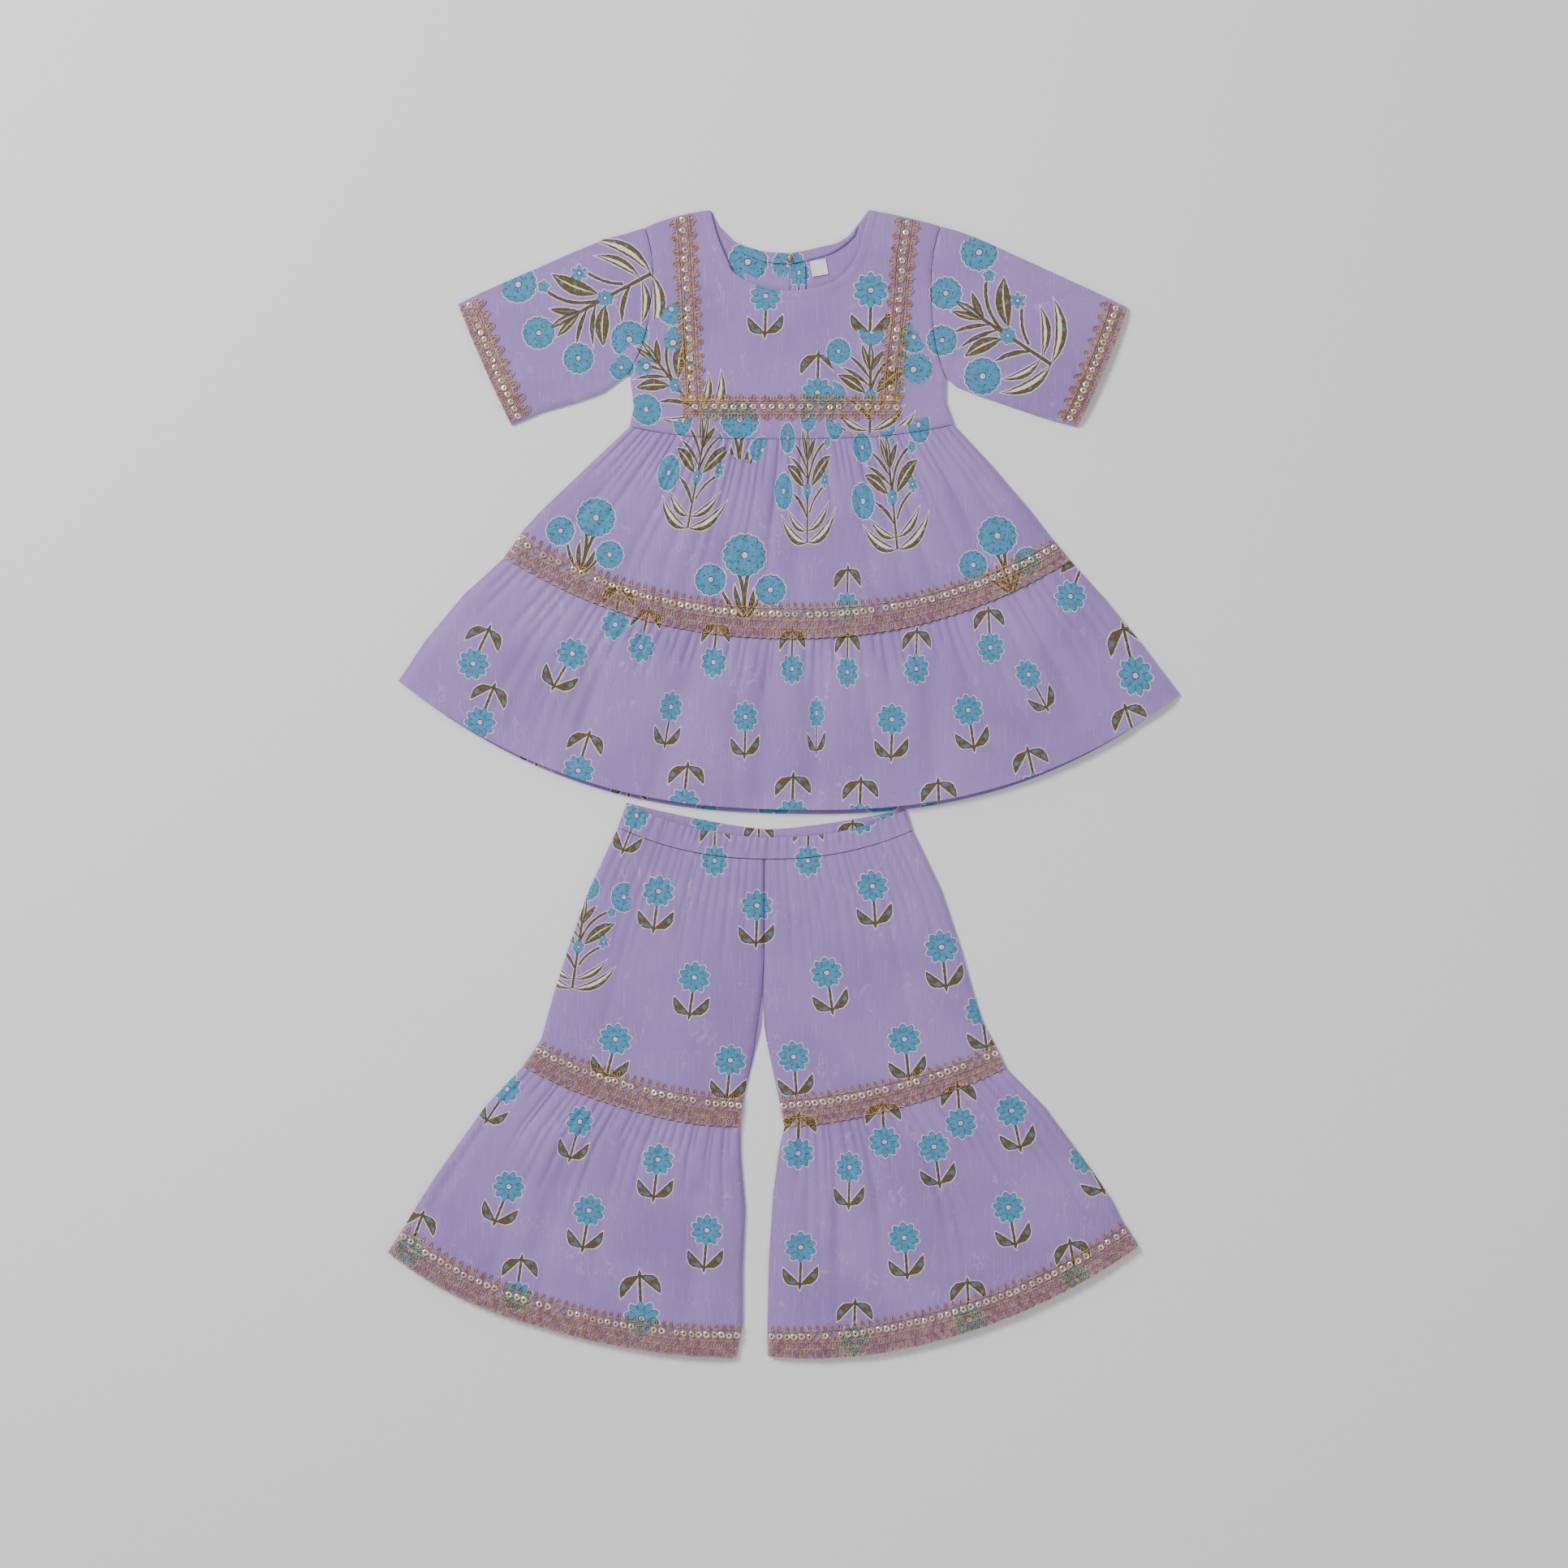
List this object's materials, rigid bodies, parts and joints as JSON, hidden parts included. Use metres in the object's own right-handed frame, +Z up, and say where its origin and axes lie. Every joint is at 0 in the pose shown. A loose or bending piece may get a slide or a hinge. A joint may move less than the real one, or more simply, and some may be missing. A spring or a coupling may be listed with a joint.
{
  "type": "kurta and sharara suit laid flat",
  "caption": "Infant girl's suit laid flat: short-sleeved gathered kurta with a tiered skirt above flared sharara trousers, trimmed with gold lace.",
  "frame": {"origin": "middle of the suit's outline seen from above, on the surface that it lies on", "axes": "+X is the right of the layout, +Y runs from the trouser hems to the neck, +Z is up from the surface"},
  "size_m": [0.5364, 0.7772, 0.0071],
  "materials": {
    "cotton": "matt lavender cotton block-printed with blue flowers and olive leaves",
    "gold_lace": "looped metallic gold thread with small ring sequins",
    "bead": "polished gold bead",
    "thread": "twisted lavender thread",
    "label": "white woven satin, bare"
  },
  "bodies": {
    "root": {"bodice_front": "cotton", "bodice_back": "cotton", "neck_facing_left": "cotton", "neck_facing_right": "cotton", "back_placket": "cotton", "button": "bead", "button_loop": "thread", "size_label": "label", "sleeve_left": "cotton", "sleeve_right": "cotton", "sleeve_lace_left": "gold_lace", "sleeve_lace_right": "gold_lace", "yoke_lace_left": "gold_lace", "yoke_lace_bottom": "gold_lace", "yoke_lace_right": "gold_lace", "skirt_front": "cotton", "skirt_back": "cotton", "skirt_lace": "gold_lace", "tier_front": "cotton", "tier_back": "cotton", "waistband_front": "cotton", "waistband_back": "cotton", "leg_left_front": "cotton", "leg_left_back": "cotton", "leg_right_front": "cotton", "leg_right_back": "cotton", "knee_lace_left": "gold_lace", "knee_lace_right": "gold_lace", "flare_left_front": "cotton", "flare_left_back": "cotton", "flare_right_front": "cotton", "flare_right_back": "cotton", "hem_lace_left": "gold_lace", "hem_lace_right": "gold_lace"}
  },
  "joints": []
}
